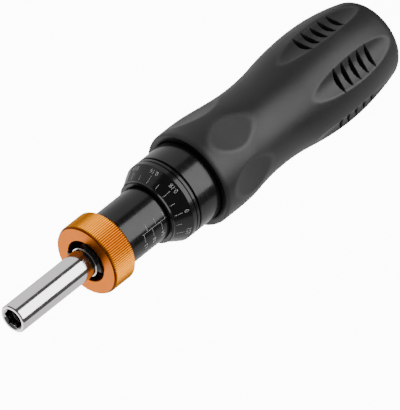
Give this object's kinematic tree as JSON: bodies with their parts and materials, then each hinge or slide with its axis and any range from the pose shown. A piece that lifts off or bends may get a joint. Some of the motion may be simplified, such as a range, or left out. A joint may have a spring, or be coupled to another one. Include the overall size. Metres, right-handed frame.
{
  "type": "adjustable torque screwdriver",
  "caption": "Adjustable torque screwdriver with a turning graduated handle, a scaled barrel, a knurled lock ring and a hexagon bit socket on a slipping clutch.",
  "frame": {"origin": "centre of the flat end of the handle, on the tool's axis", "axes": "+Z along the tool's axis from the handle's end to the bit tube's mouth; +X through the middle of one of the handle's front dents"},
  "size_m": [0.0352, 0.0342, 0.1733],
  "materials": {
    "soft_grip": "fine satin, soft touch",
    "black_anodised": "black anodised, semi-gloss",
    "plain_aluminium": "turned",
    "orange_anodised": "orange anodised, satin",
    "chrome_steel": "polished chrome",
    "bright_steel": "ground",
    "black_steel": "black oxide",
    "spring_steel": "oiled",
    "nut_brass": "turned",
    "seal_rubber": "matte",
    "magnet_nickel": "nickel plated"
  },
  "bodies": {
    "handle": {"handle_grip": "soft_grip", "handle_core": "black_anodised", "core_plug": "plain_aluminium", "graduated_dial": "black_anodised", "dial_screws": "black_steel", "dial_seal": "seal_rubber", "setting_nut": "nut_brass", "nut_pins": "bright_steel", "bearing_lower_race": "bright_steel"},
    "spring_guide": {"spring_guide": "bright_steel", "bearing_upper_race": "bright_steel", "bearing_balls": "bright_steel", "bearing_cage": "nut_brass", "main_spring": "spring_steel"},
    "barrel": {"barrel_tube": "black_anodised", "travel_stop": "spring_steel", "barrel_nose": "black_anodised", "front_bush": "nut_brass", "thrust_washer": "nut_brass", "clutch_plate": "bright_steel", "clutch_balls": "bright_steel"},
    "lock_tube": {"lock_tube": "bright_steel"},
    "lock_ring": {"lock_ring": "orange_anodised"},
    "bit_holder": {"bit_holder": "chrome_steel", "journal_clip": "spring_steel", "bit_clip": "spring_steel", "bit_magnet": "magnet_nickel"}
  },
  "joints": [
    {"name": "setting_turn", "type": "hinge", "parent": "handle", "child": "spring_guide", "pos_m": [0, 0, 0.0405], "axis": [0, 0, -1], "range_deg": [0, 2088.1]},
    {"name": "setting_travel", "type": "slide", "parent": "spring_guide", "child": "barrel", "axis": [0, 0, -1], "range_m": [0, 0.0116], "deforming": ["main_spring"]},
    {"name": "lock_push", "type": "slide", "parent": "barrel", "child": "lock_tube", "axis": [0, 0, -1], "range_m": [0, 0.00025]},
    {"name": "lock_turn", "type": "hinge", "parent": "lock_tube", "child": "lock_ring", "pos_m": [0, 0, 0.133], "axis": [0, 0, -1], "range_deg": [0, 90.1]},
    {"name": "drive_slip", "type": "hinge", "parent": "barrel", "child": "bit_holder", "pos_m": [0, 0, 0.128], "axis": [0, 0, 1], "continuous": true}
  ],
  "couplings": [
    {"joint": "setting_turn", "follows": "setting_travel", "rad_per_m": 3141.6},
    {"joint": "lock_turn", "follows": "lock_push", "rad_per_m": 6283.2}
  ]
}
